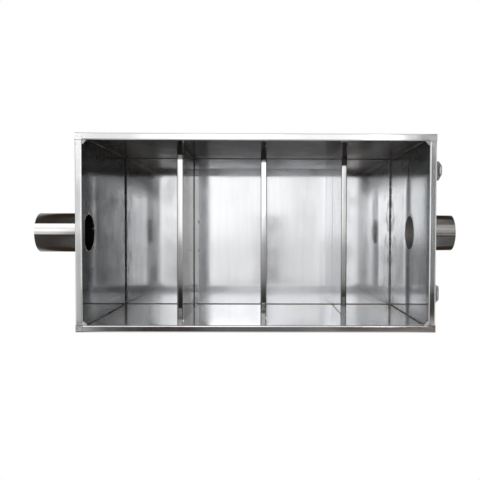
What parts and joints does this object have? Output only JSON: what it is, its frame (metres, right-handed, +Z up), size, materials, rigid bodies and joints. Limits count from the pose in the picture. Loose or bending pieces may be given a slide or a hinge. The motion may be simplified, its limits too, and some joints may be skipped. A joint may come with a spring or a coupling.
{
  "type": "sand trap",
  "caption": "Open rectangular settling tank folded from stainless sheet, with stepped weirs, an inlet and an outlet pipe stub, and toggle latches for a lid.",
  "frame": {"origin": "middle of the floor's underside", "axes": "+X towards the outlet, +Y towards the back long wall, +Z up"},
  "size_m": [0.6345, 0.276, 0.294],
  "materials": {
    "tank_sheet": "bright rolled stainless steel sheet",
    "end_sheet": "bright rolled stainless steel sheet, vertical grain",
    "weir_sheet": "bright rolled stainless steel sheet",
    "pipe": "polished stainless steel tube",
    "weld": "stainless steel weld, heat tinted and rough",
    "latch_sheet": "pressed stainless steel, satin",
    "latch_pin": "bright stainless steel wire"
  },
  "bodies": {
    "tank": {"tank_body": "tank_sheet", "inlet_end_plate": "end_sheet", "outlet_end_plate": "end_sheet", "baffle_1": "weir_sheet", "baffle_2": "weir_sheet", "baffle_3": "weir_sheet", "inlet_pipe": "pipe", "outlet_pipe": "pipe", "inlet_pipe_weld": "weld", "outlet_pipe_weld": "weld", "inlet_end_weld": "weld", "outlet_end_weld": "weld", "rim_corner_welds": "weld", "latch_1_base": "latch_sheet", "latch_1_pin": "latch_pin", "latch_2_base": "latch_sheet", "latch_2_pin": "latch_pin"},
    "lever_1": {"latch_1_lever": "latch_sheet"},
    "bail_1": {"latch_1_bail": "latch_pin"},
    "lever_2": {"latch_2_lever": "latch_sheet"},
    "bail_2": {"latch_2_bail": "latch_pin"}
  },
  "joints": [
    {"name": "lever_1_hinge", "type": "hinge", "parent": "tank", "child": "lever_1", "pos_m": [0.2565, 0.0885, 0.274], "axis": [0, -1, 0], "range_deg": [0, 150]},
    {"name": "bail_1_hinge", "type": "hinge", "parent": "lever_1", "child": "bail_1", "pos_m": [0.255, 0.0885, 0.262], "axis": [0, 1, 0], "range_deg": [0, 150]},
    {"name": "lever_2_hinge", "type": "hinge", "parent": "tank", "child": "lever_2", "pos_m": [0.2565, -0.085, 0.274], "axis": [0, -1, 0], "range_deg": [0, 150]},
    {"name": "bail_2_hinge", "type": "hinge", "parent": "lever_2", "child": "bail_2", "pos_m": [0.255, -0.085, 0.262], "axis": [0, 1, 0], "range_deg": [0, 150]}
  ],
  "couplings": [
    {"joint": "bail_1_hinge", "follows": "lever_1_hinge", "ratio": 1},
    {"joint": "bail_2_hinge", "follows": "lever_2_hinge", "ratio": 1}
  ]
}
